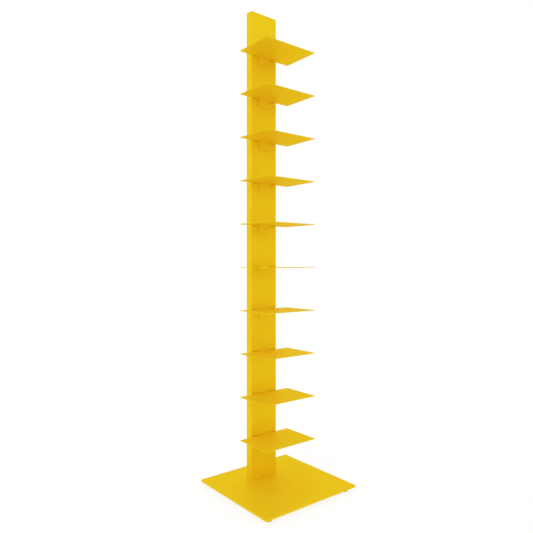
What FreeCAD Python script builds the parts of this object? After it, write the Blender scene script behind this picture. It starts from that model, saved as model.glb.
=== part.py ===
import FreeCAD, Part
import os

import Sketcher
from FreeCAD import Vector

# A free-standing steel column with ten small sheet-metal shelves hooked into its front wall.
# Millimetres. +Z is up, the front faces -Y, and the origin is on the floor under the base's centre.

SIZES = {
    # base plate
    "base_width": 350,
    "base_depth": 350,
    "base_thickness": 6,
    "base_corner_radius": 3,
    "base_edge_chamfer": 0.6,
    # column tube, with the distance of its front face behind the base's centre
    "column_width": 100,
    "column_depth": 28,
    "column_wall": 2,
    "column_outer_radius": 2,
    "column_inner_radius": 0.5,
    "column_setback": 71,
    "column_top_reach": 141,
    # steel pan welded flush into the tube's mouth
    "cap_sheet": 2,
    "cap_skirt": 10,
    "cap_corner_radius": 1.2,
    # tapped plate welded into the tube's foot
    "foot_thickness": 8,
    "foot_corner_radius": 1.2,
    # countersunk screws that hold the base to the foot plate
    "screw_count": 3,
    "screw_spacing": 33,
    "screw_radius": 4,
    "screw_head_radius": 8,
    "screw_recess": 0.2,
    "screw_tip_reach": 2,
    "screw_hole_clearance": 0.5,
    "countersink_clearance": 0.1,
    "hex_socket_radius": 2.9,
    "hex_socket_depth": 2.6,
    "thread_clearance": 0.05,
    # shelves
    "shelf_count": 10,
    "shelf_width": 192,
    "shelf_reach": 142,
    "shelf_sheet": 2,
    "shelf_corner_radius": 1,
    "shelf_edge_chamfer": 0.4,
    "bay_height": 134.5,
    "rear_gap": 2.5,
    # the folded back of each shelf: a tab in front of the column between two tongues in its slots
    "tab_width": 44,
    "tab_root": 5,
    "relief_width": 1.5,
    "tongue_width": 21.5,
    "bend_radius": 1.5,
    "flange_drop": 26,
    "flange_corner_radius": 2,
    "hook_rise": 6,
    "hook_clearance": 0.3,
    "slot_floor_clearance": 0.6,
    "slot_headroom": 1.8,
    "slot_side_clearance": 0.5,
    # screw-in levelling glides
    "glide_inset": 26,
    "pad_radius": 11.5,
    "pad_height": 6.5,
    "pad_chamfer": 1,
    "pad_shoulder": 1.5,
    "pad_floor": 2,
    "pad_gap": 0.5,
    "swivel_clearance": 0.3,
    "nut_radius": 7.5,
    "nut_height": 5,
    "nut_chamfer": 0.8,
    "stud_radius": 4,
    "stud_disc_radius": 6,
    "stud_disc_thickness": 2,
    "stud_tip_chamfer": 0.8,
    "stud_socket_depth": 4,
    "stud_socket_clearance": 0.6,
    "stud_end_clearance": 0.5,
}

# Heights and places that follow from the sizes, as expressions on the sheet.
BASE_UNDERSIDE = "(Sizes.pad_height + Sizes.pad_gap + Sizes.nut_height)"
BASE_TOP = f"({BASE_UNDERSIDE} + Sizes.base_thickness)"
SHELF_PITCH = "(Sizes.bay_height + Sizes.shelf_sheet)"
COLUMN_HEIGHT = f"(Sizes.shelf_count * {SHELF_PITCH} + Sizes.column_top_reach)"
COLUMN_MIDDLE_Y = "(Sizes.column_setback + Sizes.column_depth / 2)"
BORE_WIDTH = "(Sizes.column_width - 2 * Sizes.column_wall)"
BORE_DEPTH = "(Sizes.column_depth - 2 * Sizes.column_wall)"
SCREW_ROW = "((Sizes.screw_count - 1) * Sizes.screw_spacing)"
GLIDE_X = "(Sizes.base_width / 2 - Sizes.glide_inset)"
GLIDE_Y = "(Sizes.base_depth / 2 - Sizes.glide_inset)"
TONGUE_INNER_X = "(Sizes.tab_width / 2 + Sizes.relief_width)"
HOOK_BACK_Y = "(Sizes.column_wall + Sizes.hook_clearance + Sizes.shelf_sheet)"

SIDE_NAMES = {-1: "left", 1: "right"}

CORNERS = {
    "front_left": (-1, -1),
    "front_right": (1, -1),
    "rear_left": (-1, 1),
    "rear_right": (1, 1),
}

doc = FreeCAD.newDocument("spine_bookshelf")
sizes = doc.addObject("Spreadsheet::Sheet", "Sizes")
for row, (alias, size) in enumerate(SIZES.items(), 1):
    sizes.set(f"A{row}", alias)
    sizes.set(f"B{row}", str(size))
    sizes.setAlias(f"B{row}", alias)
doc.recompute()


def value(expression):
    """The number that an expression on the sheet has now."""
    return float(sizes.evalExpression(expression.replace("Sizes.", "")))


def place(thing, x="0", y="0", z="0"):
    """Bind the place of an object to the sheet."""
    for axis, expression in (("x", x), ("y", y), ("z", z)):
        thing.setExpression(f"Placement.Base.{axis}", expression)


# ---- sketches ----

def new_body(name):
    body = doc.addObject("PartDesign::Body", name)
    body.Label = name
    return body


def origin_feature(body, role):
    return next(feature for feature in body.Origin.OriginFeatures if feature.Role == role)


def new_sketch(body, name, plane, offset="0"):
    """A sketch on one of the body's origin planes, moved along the plane's normal by the offset."""
    sketch = body.newObject("Sketcher::SketchObject", name)
    sketch.AttachmentSupport = (origin_feature(body, plane), [""])
    sketch.MapMode = "FlatFace"
    sketch.setExpression("AttachmentOffset.Base.z", offset)
    return sketch


def constrain(sketch, name, expression, *terms):
    """Add a named dimension, driven by an expression on the sheet."""
    index = sketch.addConstraint(Sketcher.Constraint(*terms, value(expression)))
    sketch.renameConstraint(index, name)
    sketch.setExpression(f"Constraints.{name}", expression)


def draw_outline(sketch, name, corners, arcs=None):
    """Draw a closed outline through corners given as pairs of expressions.

    arcs maps the number of an edge to (x, y, turn): the expressions of its centre and +1 for an
    arc that runs anticlockwise, or -1. The other edges are straight.
    """
    arcs = arcs or {}
    points = [Vector(value(x), value(y), 0) for x, y in corners]
    ends = []
    for number, start in enumerate(points):
        end = points[(number + 1) % len(points)]
        if number not in arcs:
            edge = sketch.addGeometry(Part.LineSegment(start, end))
            ends.append((edge, 1, 2))
            continue
        centre_x, centre_y, turn = arcs[number]
        centre = Vector(value(centre_x), value(centre_y), 0)
        first, last = (start, end) if turn > 0 else (end, start)
        circle = Part.Circle(centre, Vector(0, 0, 1), (start - centre).Length)
        arc = Part.ArcOfCircle(circle, circle.parameter(first), circle.parameter(last))
        edge = sketch.addGeometry(arc)
        ends.append((edge, 1, 2) if turn > 0 else (edge, 2, 1))
        constrain(sketch, f"{name}_centre_{number}", centre_x, "DistanceX", -1, 1, edge, 3)
    for number, (edge, first, last) in enumerate(ends):
        following, following_first, _ = ends[(number + 1) % len(ends)]
        sketch.addConstraint(Sketcher.Constraint("Coincident", edge, last, following, following_first))
        x, y = corners[number]
        constrain(sketch, f"{name}_x_{number}", x, "DistanceX", -1, 1, edge, first)
        constrain(sketch, f"{name}_y_{number}", y, "DistanceY", -1, 1, edge, first)


def draw_rectangle(sketch, name, width, height, centre_y="0"):
    """Draw a rectangle whose middle is on the sketch's vertical axis."""
    left, right = f"-({width}) / 2", f"({width}) / 2"
    low, high = f"{centre_y} - ({height}) / 2", f"{centre_y} + ({height}) / 2"
    draw_outline(sketch, name, [(left, low), (right, low), (right, high), (left, high)])


def draw_circle(sketch, name, x, y, radius):
    circle = Part.Circle(Vector(value(x), value(y), 0), Vector(0, 0, 1), value(radius))
    edge = sketch.addGeometry(circle)
    constrain(sketch, f"{name}_x", x, "DistanceX", -1, 1, edge, 3)
    constrain(sketch, f"{name}_y", y, "DistanceY", -1, 1, edge, 3)
    constrain(sketch, f"{name}_radius", radius, "Radius", edge)


# ---- features ----

def pad(body, name, sketch, length, symmetric=False):
    feature = body.newObject("PartDesign::Pad", name)
    feature.Profile = sketch
    feature.SideType = "Symmetric" if symmetric else "One side"
    feature.setExpression("Length", length)
    doc.recompute()
    return feature


def pocket(body, name, sketch, length, backwards=False):
    """Cut a pocket. The cut has to take material away."""
    before = body.Shape.Volume
    feature = body.newObject("PartDesign::Pocket", name)
    feature.Profile = sketch
    feature.Reversed = backwards
    feature.setExpression("Length", length)
    doc.recompute()
    if body.Shape.Volume >= before:
        raise RuntimeError(f"{name} cuts nothing from {body.Label}")
    return feature


def revolve(body, name, sketch):
    """Turn a sketch once round its vertical axis."""
    feature = body.newObject("PartDesign::Revolution", name)
    feature.Profile = sketch
    feature.ReferenceAxis = (sketch, ["V_Axis"])
    feature.Angle = 360
    doc.recompute()
    return feature


def dress_edges(body, name, kind, dimension, size, wanted):
    """Dress the edges of the body's last feature that the test picks out."""
    base = body.Tip
    names = [f"Edge{n}" for n, edge in enumerate(base.Shape.Edges, 1) if wanted(edge)]
    feature = body.newObject(kind, name)
    feature.Base = (base, names)
    feature.setExpression(dimension, size)
    doc.recompute()
    return feature


def round_edges(body, name, radius, wanted):
    return dress_edges(body, name, "PartDesign::Fillet", "Radius", radius, wanted)


def chamfer_edges(body, name, size, wanted):
    return dress_edges(body, name, "PartDesign::Chamfer", "Size", size, wanted)


def runs_along(edge, axis):
    """Whether an edge is a straight line along a unit vector."""
    if not isinstance(edge.Curve, Part.Line):
        return False
    return abs(abs(edge.Curve.Direction.dot(axis)) - 1) < 1e-6


def is_upright(edge):
    return runs_along(edge, Vector(0, 0, 1))


def is_upright_corner(half_width, low_y, high_y):
    """A test for upright edges at the corners of a rectangle centred on x = 0."""
    def test(edge):
        x, y = edge.CenterOfMass.x, edge.CenterOfMass.y
        on_side = abs(abs(x) - half_width) < 1e-4
        return is_upright(edge) and on_side and min(abs(y - low_y), abs(y - high_y)) < 1e-4
    return test


def is_level_at(*heights):
    """A test for edges that lie level at one of the heights, lines and arcs alike."""
    def test(edge):
        box = edge.BoundBox
        level = box.ZLength < 1e-4
        return level and any(abs(box.ZMin - height) < 1e-4 for height in heights)
    return test


# ---- base plate ----

def make_base_plate():
    """Square steel plate with countersunk holes under the column and a blind hole over each glide."""
    body = new_body("base_plate")
    outline = new_sketch(body, "base_outline", "XY_Plane")
    draw_rectangle(outline, "plate", "Sizes.base_width", "Sizes.base_depth")
    pad(body, "base_pad", outline, "Sizes.base_thickness")
    half_width, half_depth = value("Sizes.base_width") / 2, value("Sizes.base_depth") / 2
    round_edges(body, "base_corners", "Sizes.base_corner_radius",
                is_upright_corner(half_width, -half_depth, half_depth))
    chamfer_edges(body, "base_edges", "Sizes.base_edge_chamfer",
                  is_level_at(0, value("Sizes.base_thickness")))

    sockets = new_sketch(body, "stud_sockets", "XY_Plane")
    radius = "Sizes.stud_radius + Sizes.stud_socket_clearance"
    for corner, (side, end) in CORNERS.items():
        draw_circle(sockets, corner, f"{side} * {GLIDE_X}", f"{end} * {GLIDE_Y}", radius)
    pocket(body, "stud_socket_holes", sockets, "Sizes.stud_socket_depth", backwards=True)

    holes = new_sketch(body, "screw_places", "XY_Plane")
    hole_radius = "Sizes.screw_radius + Sizes.screw_hole_clearance"
    for number in range(int(SIZES["screw_count"])):
        draw_circle(holes, f"screw_{number}", screw_x(number), COLUMN_MIDDLE_Y, hole_radius)
    before = body.Shape.Volume
    doc.recompute()
    hole = body.newObject("PartDesign::Hole", "screw_holes")
    hole.Profile = holes
    doc.recompute()
    hole.Reversed = True
    hole.DepthType = "ThroughAll"
    hole.setExpression("Diameter", f"2 * ({hole_radius})")
    hole.HoleCutType = "Countersink"
    hole.HoleCutCustomValues = True
    hole.HoleCutCountersinkAngle = 90
    head_radius = "Sizes.screw_head_radius + Sizes.screw_recess + Sizes.countersink_clearance"
    hole.setExpression("HoleCutDiameter", f"2 * ({head_radius})")
    doc.recompute()
    if body.Shape.Volume >= before:
        raise RuntimeError("the screw holes cut nothing")
    place(body, z=BASE_UNDERSIDE)
    return body


def screw_x(number):
    return f"({number} * Sizes.screw_spacing - {SCREW_ROW} / 2)"


def make_column_screws():
    """Countersunk socket screws, heads up into the base from below."""
    screws = []
    head_height = "(Sizes.screw_head_radius - Sizes.screw_radius)"
    length = ("(Sizes.base_thickness + Sizes.foot_thickness + Sizes.screw_tip_reach"
              " - Sizes.screw_recess)")
    for number in range(int(SIZES["screw_count"])):
        head = doc.addObject("Part::Cone", f"screw_head_{number}")
        head.setExpression("Radius1", "Sizes.screw_head_radius")
        head.setExpression("Radius2", "Sizes.screw_radius")
        head.setExpression("Height", head_height)
        shank = doc.addObject("Part::Cylinder", f"screw_shank_{number}")
        shank.setExpression("Radius", "Sizes.screw_radius")
        shank.setExpression("Height", length)
        blank = doc.addObject("Part::MultiFuse", f"screw_blank_{number}")
        blank.Shapes = [head, shank]
        socket = doc.addObject("Part::Prism", f"screw_socket_{number}")
        socket.Polygon = 6
        socket.setExpression("Circumradius", "Sizes.hex_socket_radius")
        socket.setExpression("Height", "Sizes.hex_socket_depth")
        screw = doc.addObject("Part::Cut", f"screw_{number}")
        screw.Base = blank
        screw.Tool = socket
        place(screw, screw_x(number), COLUMN_MIDDLE_Y, f"{BASE_UNDERSIDE} + Sizes.screw_recess")
        screws.append(screw)
    group = doc.addObject("Part::Compound", "column_screws")
    group.Label = "column_screws"
    group.Links = screws
    return group


# ---- column ----

def make_column_tube():
    """Rectangular tube whose front wall has two slots side by side for each shelf."""
    body = new_body("column_tube")
    section = new_sketch(body, "tube_section", "XY_Plane")
    middle = "Sizes.column_depth / 2"
    draw_rectangle(section, "outside", "Sizes.column_width", "Sizes.column_depth", middle)
    draw_rectangle(section, "bore", BORE_WIDTH, BORE_DEPTH, middle)
    pad(body, "tube_pad", section, COLUMN_HEIGHT)
    depth, wall = value("Sizes.column_depth"), value("Sizes.column_wall")
    round_edges(body, "tube_outer_corners", "Sizes.column_outer_radius",
                is_upright_corner(value("Sizes.column_width") / 2, 0, depth))
    round_edges(body, "tube_inner_corners", "Sizes.column_inner_radius",
                is_upright_corner(value(BORE_WIDTH) / 2, wall, depth - wall))

    # A slot starts one clearance under the shelf and ends one headroom above it.
    low = f"({SHELF_PITCH} - Sizes.shelf_sheet - Sizes.slot_floor_clearance)"
    high = f"({SHELF_PITCH} + Sizes.slot_headroom)"
    inner = f"({TONGUE_INNER_X} - Sizes.slot_side_clearance)"
    outer = f"({TONGUE_INNER_X} + Sizes.tongue_width + Sizes.slot_side_clearance)"
    slots = new_sketch(body, "slot_outlines", "XZ_Plane")
    for side in (-1, 1):
        draw_outline(slots, SIDE_NAMES[side], [
            (f"{side} * {inner}", low), (f"{side} * {outer}", low),
            (f"{side} * {outer}", high), (f"{side} * {inner}", high),
        ])
    cut = pocket(body, "slot_cut", slots, "Sizes.column_wall + Sizes.hook_clearance")
    first_pair = body.Shape.Volume
    row = body.newObject("PartDesign::LinearPattern", "slot_row")
    row.Originals = [cut]
    row.Direction = (origin_feature(body, "Z_Axis"), [""])
    row.Mode = "Extent"
    row.setExpression("Length", f"(Sizes.shelf_count - 1) * {SHELF_PITCH}")
    row.Occurrences = int(SIZES["shelf_count"])
    body.Tip = row
    doc.recompute()
    if body.Shape.Volume >= first_pair:
        raise RuntimeError("the slots above the first cut nothing")
    place(body, y="Sizes.column_setback", z=BASE_TOP)
    return body


def draw_bore_plug(body, name):
    """A sketch of the tube's bore in the frame of a piece that fills it."""
    sketch = new_sketch(body, name, "XY_Plane")
    draw_rectangle(sketch, "plug", BORE_WIDTH, BORE_DEPTH)
    return sketch


def round_bore_corners(body, name, radius):
    half_width, half_depth = value(BORE_WIDTH) / 2, value(BORE_DEPTH) / 2
    round_edges(body, name, radius, is_upright_corner(half_width, -half_depth, half_depth))


def make_column_top_cap():
    """Pressed pan, open side down, that closes the tube flush with its top edge."""
    body = new_body("column_top_cap")
    pad(body, "cap_blank", draw_bore_plug(body, "cap_outline"), "Sizes.cap_skirt")
    round_bore_corners(body, "cap_corners", "Sizes.cap_corner_radius")
    hollow = new_sketch(body, "cap_hollow", "XY_Plane")
    draw_rectangle(hollow, "hollow", f"{BORE_WIDTH} - 2 * Sizes.cap_sheet",
                   f"{BORE_DEPTH} - 2 * Sizes.cap_sheet")
    pocket(body, "cap_pan", hollow, "Sizes.cap_skirt - Sizes.cap_sheet", backwards=True)
    place(body, y=COLUMN_MIDDLE_Y, z=f"{BASE_TOP} + {COLUMN_HEIGHT} - Sizes.cap_skirt")
    return body


def make_column_foot_plate():
    """Thick plate in the tube's foot, tapped for the base's screws."""
    body = new_body("column_foot_plate")
    pad(body, "foot_blank", draw_bore_plug(body, "foot_outline"), "Sizes.foot_thickness")
    round_bore_corners(body, "foot_corners", "Sizes.foot_corner_radius")
    holes = new_sketch(body, "tapped_holes", "XY_Plane")
    for number in range(int(SIZES["screw_count"])):
        draw_circle(holes, f"tapped_{number}", screw_x(number), "0",
                    "Sizes.screw_radius + Sizes.thread_clearance")
    pocket(body, "foot_holes", holes, "Sizes.foot_thickness", backwards=True)
    place(body, y=COLUMN_MIDDLE_Y, z=BASE_TOP)
    return body


# ---- shelves ----

def draw_bent_strip(sketch, name, outer_y, sheet_low, leg_end):
    """Draw the side view of a strip that leaves the shelf flat and bends up or down at its end.

    The sketch's x is the shelf's y. outer_y is the face of the leg that is furthest from the
    shelf, sheet_low is 0 for a strip that bends down about its underside and -1 for one that
    bends up, and leg_end is the height of the leg's end.
    """
    bends_up = sheet_low < 0
    sheet = "Sizes.shelf_sheet"
    inner_y = f"({outer_y} - {sheet})"
    centre_y = f"({inner_y} - Sizes.bend_radius)"
    inner_z = sheet if bends_up else "0"
    outer_z = "0" if bends_up else sheet
    centre_z = f"({sheet} + Sizes.bend_radius)" if bends_up else "(0 - Sizes.bend_radius)"
    turn = 1 if bends_up else -1
    corners = [
        ("0 - Sizes.tab_root", outer_z),
        (centre_y, outer_z),
        (outer_y, centre_z),
        (outer_y, leg_end),
        (inner_y, leg_end),
        (inner_y, centre_z),
        (centre_y, inner_z),
        ("0 - Sizes.tab_root", inner_z),
    ]
    arcs = {1: (centre_y, centre_z, turn), 5: (centre_y, centre_z, -turn)}
    draw_outline(sketch, name, corners, arcs)


def make_shelf(number):
    """Folded shelf. Its frame has y = 0 on the column's face and z = 0 on its own underside."""
    body = new_body(f"shelf_{number:02d}")
    make_shelf_sheet(body, number)
    make_shelf_flange(body, number)
    for side in (-1, 1):
        make_shelf_tongue(body, number, side)
    place(body, y="Sizes.column_setback",
          z=f"{BASE_TOP} + {number} * {SHELF_PITCH} - Sizes.shelf_sheet")
    return body


def make_shelf_sheet(body, number):
    """The flat sheet, notched at the back where the tab starts."""
    side = "Sizes.shelf_width / 2"
    notch = TONGUE_INNER_X
    front, rear, root = "0 - Sizes.shelf_reach", "0 - Sizes.rear_gap", "0 - Sizes.tab_root"
    outline = new_sketch(body, f"shelf_outline_{number}", "XY_Plane")
    draw_outline(outline, "sheet", [
        (f"0 - {side}", front), (side, front), (side, rear), (notch, rear),
        (notch, root), (f"0 - {notch}", root), (f"0 - {notch}", rear), (f"0 - {side}", rear),
    ])
    pad(body, f"shelf_pad_{number}", outline, "Sizes.shelf_sheet")
    half_width, front_y = value(side), value(front)
    round_edges(body, f"shelf_corners_{number}", "Sizes.shelf_corner_radius",
                is_upright_corner(half_width, front_y, value(rear)))
    level = is_level_at(0, value("Sizes.shelf_sheet"))
    inside = half_width - value("Sizes.shelf_corner_radius") - 1e-4
    behind = front_y + value("Sizes.shelf_corner_radius") + 1e-4
    chamfer_edges(body, f"shelf_edges_{number}", "Sizes.shelf_edge_chamfer",
                  lambda edge: level(edge) and (abs(edge.CenterOfMass.x) > inside
                                                or edge.CenterOfMass.y < behind))


def make_shelf_flange(body, number):
    """The tab bent down to bear on the column's face."""
    side_view = new_sketch(body, f"flange_side_{number}", "YZ_Plane")
    draw_bent_strip(side_view, "flange", "(0 - Sizes.hook_clearance)", 0, "0 - Sizes.flange_drop")
    pad(body, f"flange_pad_{number}", side_view, "Sizes.tab_width", symmetric=True)
    half_width, low = value("Sizes.tab_width") / 2, -value("Sizes.flange_drop")
    across = Vector(0, 1, 0)
    round_edges(body, f"flange_corners_{number}", "Sizes.flange_corner_radius",
                lambda edge: runs_along(edge, across) and abs(edge.CenterOfMass.z - low) < 1e-4
                and abs(abs(edge.CenterOfMass.x) - half_width) < 1e-4)


def make_shelf_tongue(body, number, side):
    """The sheet beside the tab, left flat to pass through its slot and hooked up behind the wall."""
    name = f"{SIDE_NAMES[side]}_{number}"
    side_view = new_sketch(body, f"tongue_side_{name}", "YZ_Plane",
                           f"{side} * ({TONGUE_INNER_X} + Sizes.tongue_width / 2)")
    draw_bent_strip(side_view, "tongue", HOOK_BACK_Y, -1, "Sizes.shelf_sheet + Sizes.hook_rise")
    pad(body, f"tongue_pad_{name}", side_view, "Sizes.tongue_width", symmetric=True)


# ---- levelling glides ----

PAD_SOCKET_FLOOR = "Sizes.pad_floor"
PAD_SOCKET_ROOF = ("(Sizes.pad_floor + Sizes.stud_disc_thickness"
                   " + 2 * Sizes.swivel_clearance)")


def make_glide_pad(corner):
    """Round pad with a captive socket, so that its stud turns while the pad stands still."""
    body = new_body(f"glide_pad_{corner}")
    section = new_sketch(body, f"pad_section_{corner}", "XZ_Plane")
    mouth = "(Sizes.stud_radius + Sizes.swivel_clearance)"
    socket = "(Sizes.stud_disc_radius + Sizes.swivel_clearance)"
    rim = "Sizes.pad_radius"
    draw_outline(section, "pad", [
        ("0", "0"),
        (f"{rim} - Sizes.pad_chamfer", "0"),
        (rim, "Sizes.pad_chamfer"),
        (rim, "Sizes.pad_height - Sizes.pad_shoulder"),
        (f"{rim} - Sizes.pad_shoulder", "Sizes.pad_height"),
        (mouth, "Sizes.pad_height"),
        (mouth, PAD_SOCKET_ROOF),
        (socket, PAD_SOCKET_ROOF),
        (socket, PAD_SOCKET_FLOOR),
        ("0", PAD_SOCKET_FLOOR),
    ])
    revolve(body, f"pad_turned_{corner}", section)
    side, end = CORNERS[corner]
    place(body, f"{side} * {GLIDE_X}", f"{end} * {GLIDE_Y}")
    return body


def make_glide_stud(corner):
    """Threaded stud: a disc held in the pad, and a shank that runs up through the nut."""
    body = new_body(f"glide_stud_{corner}")
    section = new_sketch(body, f"stud_section_{corner}", "XZ_Plane")
    low = "(Sizes.pad_floor + Sizes.swivel_clearance)"
    disc_top = f"({low} + Sizes.stud_disc_thickness)"
    tip = f"({BASE_UNDERSIDE} + Sizes.stud_socket_depth - Sizes.stud_end_clearance)"
    draw_outline(section, "stud", [
        ("0", low),
        ("Sizes.stud_disc_radius", low),
        ("Sizes.stud_disc_radius", disc_top),
        ("Sizes.stud_radius", disc_top),
        ("Sizes.stud_radius", f"{tip} - Sizes.stud_tip_chamfer"),
        ("Sizes.stud_radius - Sizes.stud_tip_chamfer", tip),
        ("0", tip),
    ])
    revolve(body, f"stud_turned_{corner}", section)
    side, end = CORNERS[corner]
    place(body, f"{side} * {GLIDE_X}", f"{end} * {GLIDE_Y}")
    return body


def make_glide_nuts():
    """Hexagonal weld nuts under the base, their outer corners chamfered by a cone."""
    nuts = []
    for corner, (side, end) in CORNERS.items():
        hexagon = doc.addObject("Part::Prism", f"nut_hexagon_{corner}")
        hexagon.Polygon = 6
        hexagon.setExpression("Circumradius", "Sizes.nut_radius")
        hexagon.setExpression("Height", "Sizes.nut_height")
        cone = doc.addObject("Part::Cone", f"nut_cone_{corner}")
        cone.setExpression("Radius1", "Sizes.nut_radius - Sizes.nut_chamfer")
        cone.setExpression("Radius2", "Sizes.nut_radius - Sizes.nut_chamfer + 2 * Sizes.nut_height")
        cone.setExpression("Height", "Sizes.nut_height")
        blank = doc.addObject("Part::MultiCommon", f"nut_blank_{corner}")
        blank.Shapes = [hexagon, cone]
        bore = doc.addObject("Part::Cylinder", f"nut_bore_{corner}")
        bore.setExpression("Radius", "Sizes.stud_radius + Sizes.thread_clearance")
        bore.setExpression("Height", "Sizes.nut_height")
        nut = doc.addObject("Part::Cut", f"nut_{corner}")
        nut.Base = blank
        nut.Tool = bore
        place(nut, f"{side} * {GLIDE_X}", f"{end} * {GLIDE_Y}", f"{BASE_UNDERSIDE} - Sizes.nut_height")
        nuts.append(nut)
    group = doc.addObject("Part::Compound", "glide_nuts")
    group.Label = "glide_nuts"
    group.Links = nuts
    return group


# ---- the whole shelf ----

def make_all():
    pieces = [
        make_base_plate(),
        make_column_screws(),
        make_column_tube(),
        make_column_top_cap(),
        make_column_foot_plate(),
        make_glide_nuts(),
    ]
    pieces += [make_shelf(number) for number in range(1, int(SIZES["shelf_count"]) + 1)]
    for corner in CORNERS:
        pieces.append(make_glide_pad(corner))
        pieces.append(make_glide_stud(corner))
    return pieces


def check(pieces):
    """Stop if any feature failed or any piece isn't a sound solid."""
    for thing in doc.Objects:
        if "Invalid" in thing.State or "Error" in thing.State:
            raise RuntimeError(f"{thing.Name} failed: {thing.State}")
    for piece in pieces:
        shape = piece.Shape
        if shape.isNull() or not shape.isValid() or not shape.Solids:
            raise RuntimeError(f"{piece.Label} is not a valid solid")


pieces = make_all()
doc.recompute()
check(pieces)
os.makedirs("parts", exist_ok=True)
for piece in pieces:
    piece.Shape.exportStep(f"parts/{piece.Label}.step")
    box = piece.Shape.BoundBox
    print(f"{piece.Label:24s} {len(piece.Shape.Solids)} solids, {piece.Shape.Volume / 1000:9.2f} cm3,"
          f" z {box.ZMin:.2f} to {box.ZMax:.2f}")
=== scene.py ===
import logging
import math
from dataclasses import dataclass, field
from enum import Enum
from functools import reduce
from typing import Callable

import bmesh
import bpy
import numpy as np
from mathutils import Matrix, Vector


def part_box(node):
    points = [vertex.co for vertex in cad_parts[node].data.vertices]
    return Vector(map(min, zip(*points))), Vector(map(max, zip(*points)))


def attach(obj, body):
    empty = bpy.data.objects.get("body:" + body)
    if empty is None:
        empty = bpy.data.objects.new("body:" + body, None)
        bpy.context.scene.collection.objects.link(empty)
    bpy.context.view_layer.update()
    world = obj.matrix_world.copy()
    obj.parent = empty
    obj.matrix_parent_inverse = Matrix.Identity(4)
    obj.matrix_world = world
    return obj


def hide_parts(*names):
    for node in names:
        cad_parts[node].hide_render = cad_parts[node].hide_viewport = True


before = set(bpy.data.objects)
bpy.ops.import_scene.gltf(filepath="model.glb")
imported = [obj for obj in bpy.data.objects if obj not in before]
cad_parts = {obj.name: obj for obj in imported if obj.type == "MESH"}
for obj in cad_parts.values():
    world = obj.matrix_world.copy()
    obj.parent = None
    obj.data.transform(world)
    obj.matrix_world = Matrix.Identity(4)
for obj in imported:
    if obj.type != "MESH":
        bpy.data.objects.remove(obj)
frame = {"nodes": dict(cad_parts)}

LOG = logging.getLogger("spine_bookshelf")
MILLIMETRE = 0.001
MERGE_DISTANCE = 1e-7
WHITE = (1.0, 1.0, 1.0, 1.0)

Socket = bpy.types.NodeSocket
Feed = Socket | float | tuple
Colour = tuple[float, float, float, float]
Point = tuple[float, float, float]
Band = tuple[float, float]


@dataclass(frozen=True)
class Box:
    """A box, by its middle and half its size in metres."""

    middle: Point
    half_size: Point

    @classmethod
    def between(cls, low: Vector, high: Vector) -> "Box":
        """The box between its lowest and highest corner."""
        return cls(tuple((low + high) / 2), tuple((high - low) / 2))


@dataclass(frozen=True)
class Noise:
    """A fractal noise: features to the metre, octaves and the weight of the finer octaves."""

    scale: Feed
    octaves: float = 2.0
    weight: float = 0.5


class Corner(Enum):
    """The corners of the base plate, by the end of each glide's name."""

    FRONT_LEFT = "front_left"
    FRONT_RIGHT = "front_right"
    REAR_LEFT = "rear_left"
    REAR_RIGHT = "rear_right"

    @property
    def pad(self) -> str:
        """The node and body of the glide's pad."""
        return f"glide_pad_{self.value}"

    @property
    def stud(self) -> str:
        """The node and body of the glide's stud."""
        return f"glide_stud_{self.value}"


class Slot(Enum):
    """The record's material slots named for new pieces; nothing in this script assigns them."""

    COAT = "yellow_powder_coat"
    ZINC = "zinc_steel"


class Effect(Enum):
    """The shader node groups that the finishes share."""

    PEEL = "coat_peel"
    DRIFT = "tone_drift"
    RUB = "edge_rub"
    DUST = "settled_dust"
    RINGS = "turned_rings"


class Kind(Enum):
    """The kinds of socket on a node group."""

    NUMBER = "NodeSocketFloat"
    VECTOR = "NodeSocketVector"
    COLOUR = "NodeSocketColor"


class Axis(Enum):
    """The axes of a vector, by their place in it."""

    X = 0
    Y = 1
    Z = 2


# ---- shader graphs ----

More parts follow.
